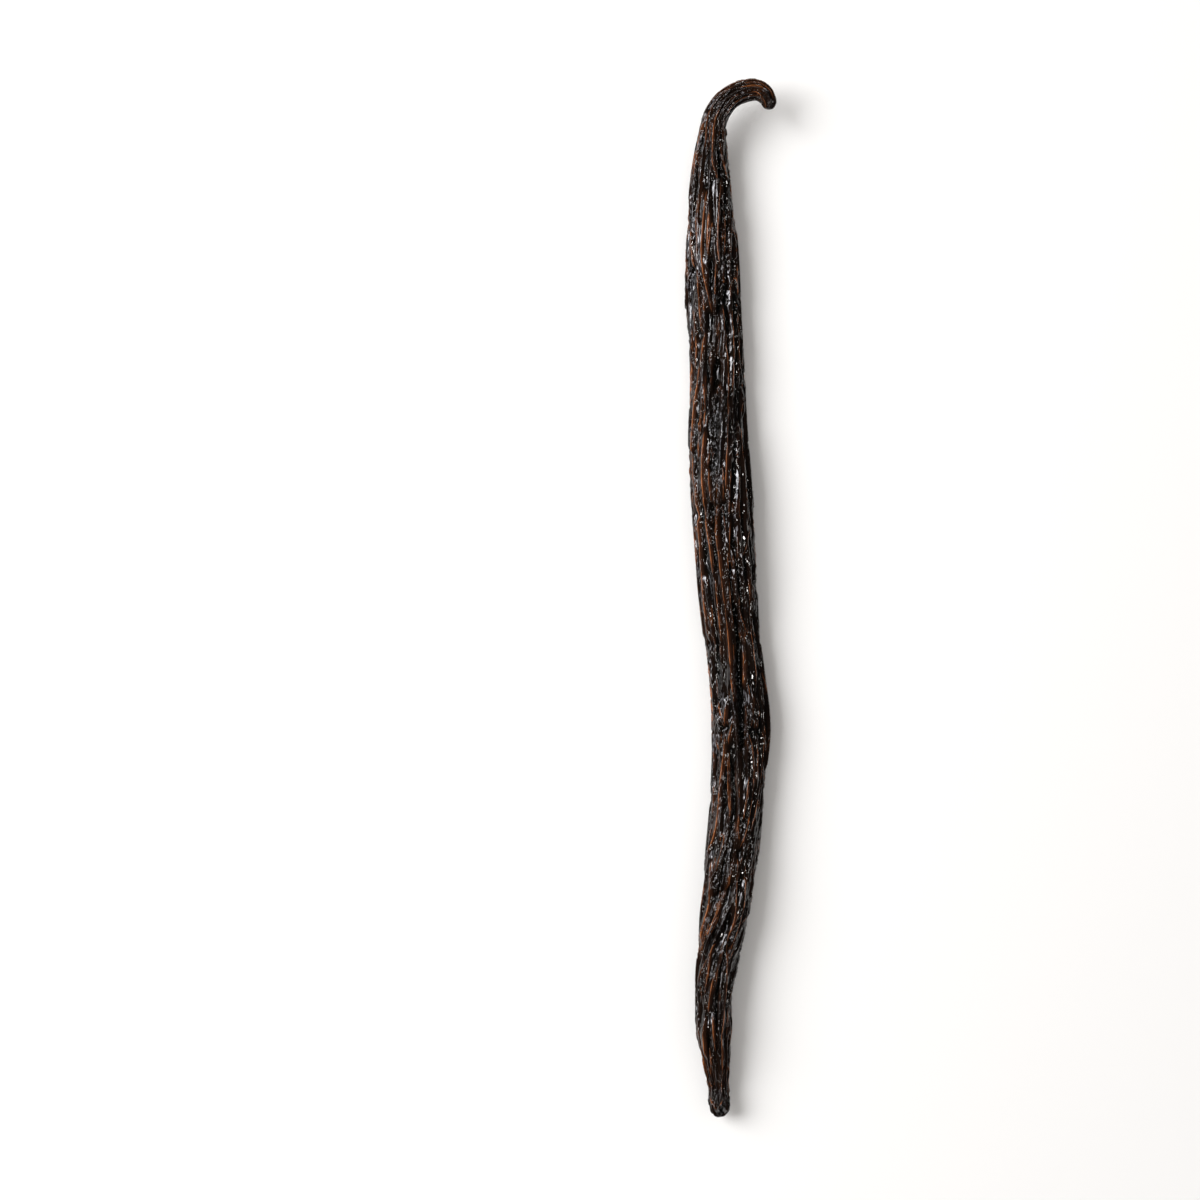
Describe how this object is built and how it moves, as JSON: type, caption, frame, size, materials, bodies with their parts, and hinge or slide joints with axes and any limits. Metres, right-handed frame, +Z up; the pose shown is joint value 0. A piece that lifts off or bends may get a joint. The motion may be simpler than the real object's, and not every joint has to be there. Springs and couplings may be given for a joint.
{
  "type": "vanilla pod",
  "caption": "Cured vanilla pod lying on its side: a long, thin, flattened body with wrinkled lengthwise folds, a hooked stem end and a small scarred blossom tip.",
  "frame": {"origin": "middle of the pod's box on the surface it lies on", "axes": "+Y along the pod towards the hooked stem end, +X the side the hook bends to, +Z up from the surface it lies on"},
  "size_m": [0.0138, 0.1604, 0.0076],
  "materials": {
    "pod_skin": "nearly black brown, wrinkled and oily, softly glossy on the crests of the folds with warm brown edges"
  },
  "bodies": {
    "root": {"vanilla_pod": "pod_skin"}
  },
  "joints": []
}
